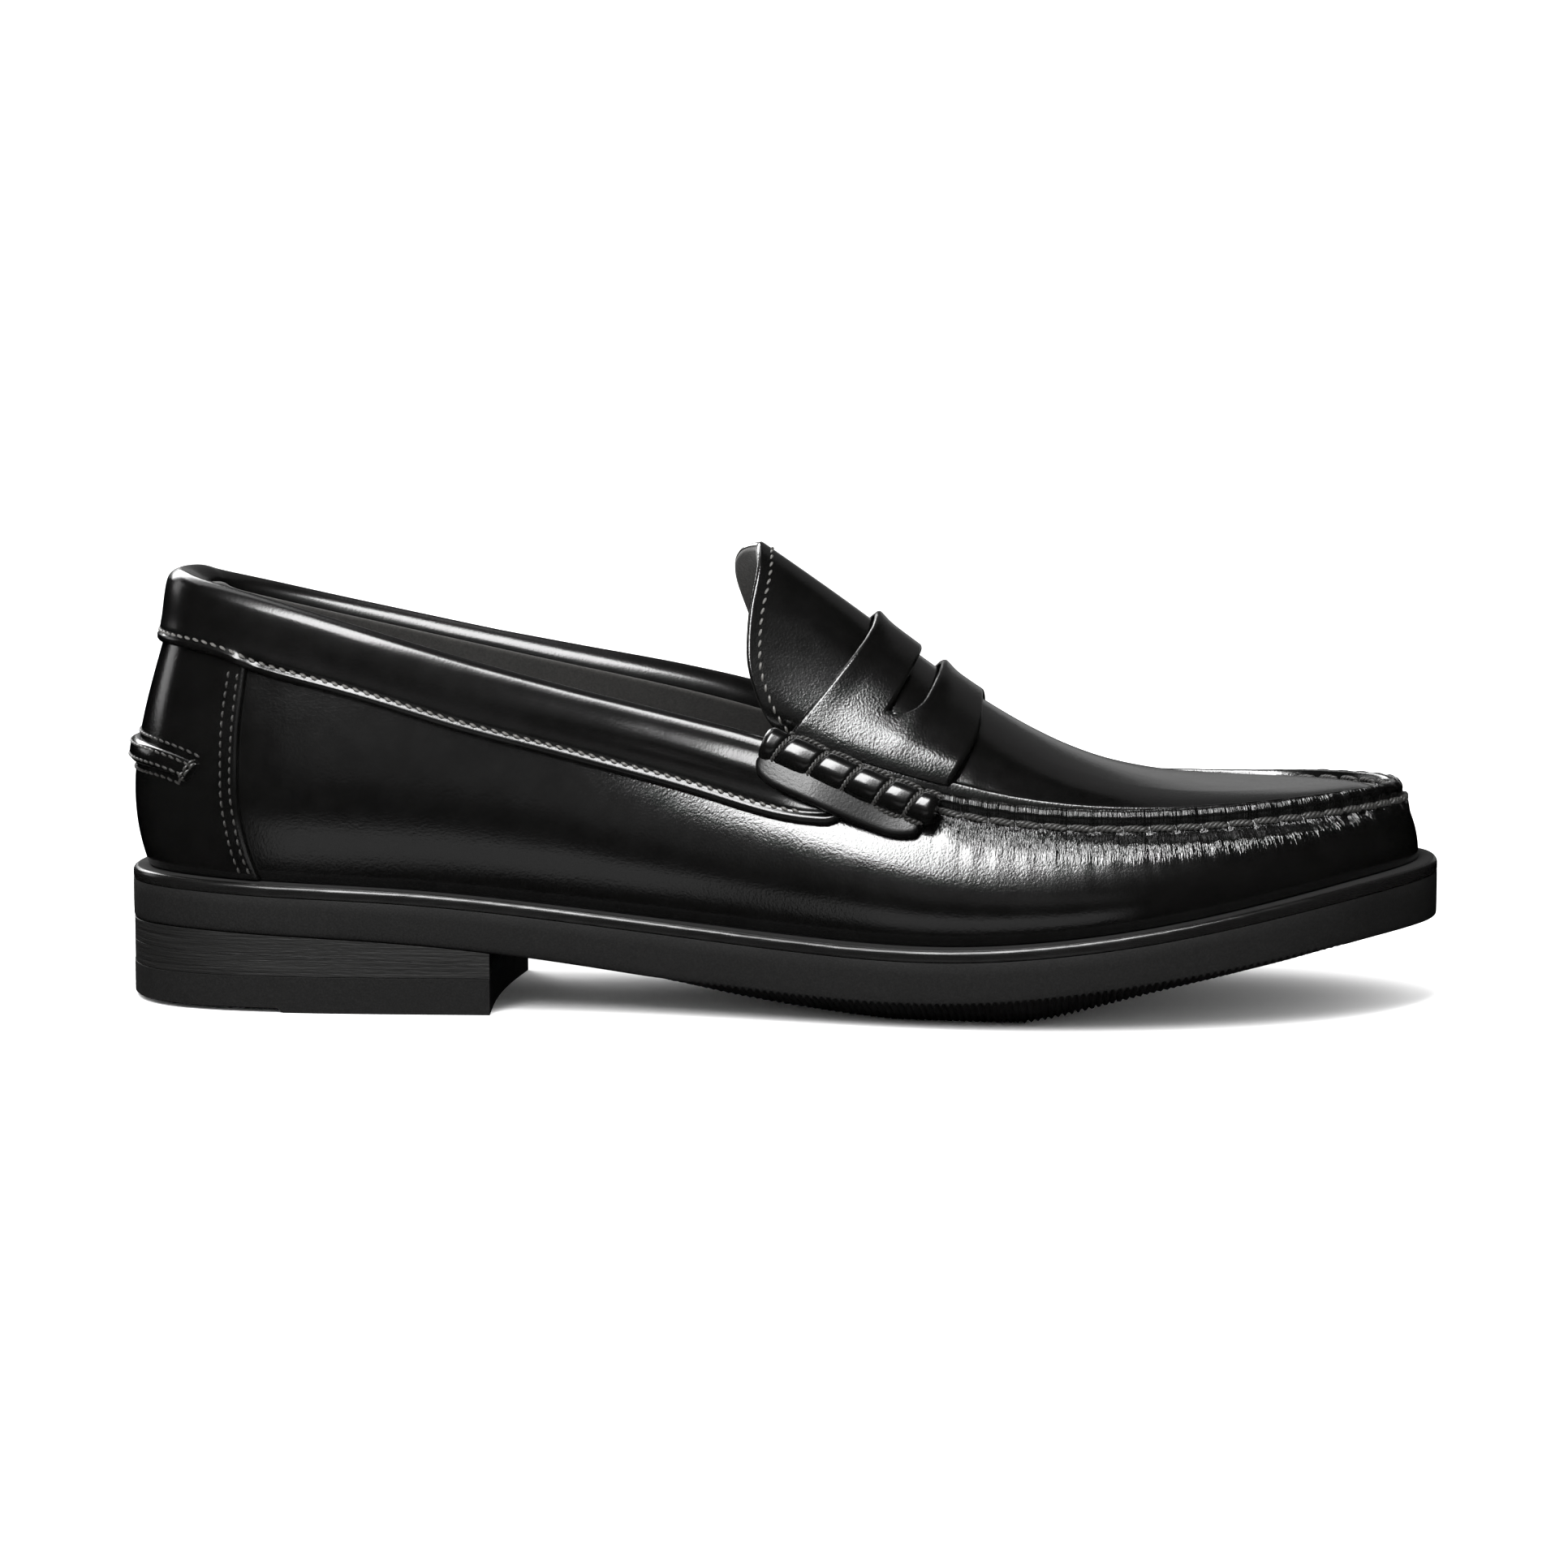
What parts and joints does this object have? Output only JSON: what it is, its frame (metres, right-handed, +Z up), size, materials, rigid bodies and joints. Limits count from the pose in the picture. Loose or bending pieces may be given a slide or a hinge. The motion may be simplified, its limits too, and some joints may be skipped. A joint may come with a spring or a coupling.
{
  "type": "penny loafer",
  "caption": "Slip-on leather loafer for the right foot with a gathered apron toe, a slotted saddle strap with beef rolls, a padded collar, a lifting tongue and a stacked heel.",
  "frame": {"origin": "on the ground under the middle of the shoe's length and width", "axes": "+X to the toe, +Y to the inner (medial) side of the foot, +Z up"},
  "size_m": [0.3001, 0.0996, 0.104],
  "materials": {
    "upper_leather": "black polished calf, high gloss with a fine grain",
    "welt": "black edge-dressed leather strip, satin",
    "sole_rubber": "matt black rubber with a fine speckled texture",
    "heel_stack": "black dyed leather board layers with a fine horizontal grain",
    "lining": "dark grey suede-like lining, matt",
    "sock": "dark grey sock leather, matt",
    "thread": "black waxed thread",
    "board": "stiff fibre board",
    "cork": "granulated cork",
    "foam": "soft open foam",
    "shank_steel": "plain spring steel strip",
    "nail_steel": "bright steel nail"
  },
  "bodies": {
    "shoe": {"outsole": "sole_rubber", "welt": "welt", "heel_lift_1": "heel_stack", "heel_lift_2": "heel_stack", "top_lift": "sole_rubber", "heel_nail_1": "nail_steel", "heel_nail_2": "nail_steel", "heel_nail_3": "nail_steel", "heel_nail_4": "nail_steel", "heel_nail_5": "nail_steel", "cork_filler": "cork", "shank": "shank_steel", "insole_board": "board", "sock_liner": "sock", "heel_pad": "foam", "vamp": "upper_leather", "heel_foxing": "upper_leather", "heel_tab": "upper_leather", "collar": "upper_leather", "collar_foam": "foam", "heel_counter": "board", "quarter_lining": "lining", "vamp_lining": "lining", "toe_puff": "board", "apron": "upper_leather", "apron_lining": "lining", "saddle_strap": "upper_leather", "strap_end_lateral": "upper_leather", "strap_end_medial": "upper_leather", "beef_roll_lateral": "upper_leather", "beef_roll_medial": "upper_leather", "roll_thread_lateral": "thread", "roll_thread_medial": "thread", "apron_thread": "thread", "collar_thread": "thread"},
    "tongue": {"tongue": "upper_leather", "tongue_lining": "lining"}
  },
  "joints": [
    {"name": "tongue_lift", "type": "hinge", "parent": "shoe", "child": "tongue", "pos_m": [0.0195, 0, 0.0866], "axis": [0, 1, 0], "range_deg": [-3, 15], "stiffness_Nm_per_rad": 0.3}
  ]
}
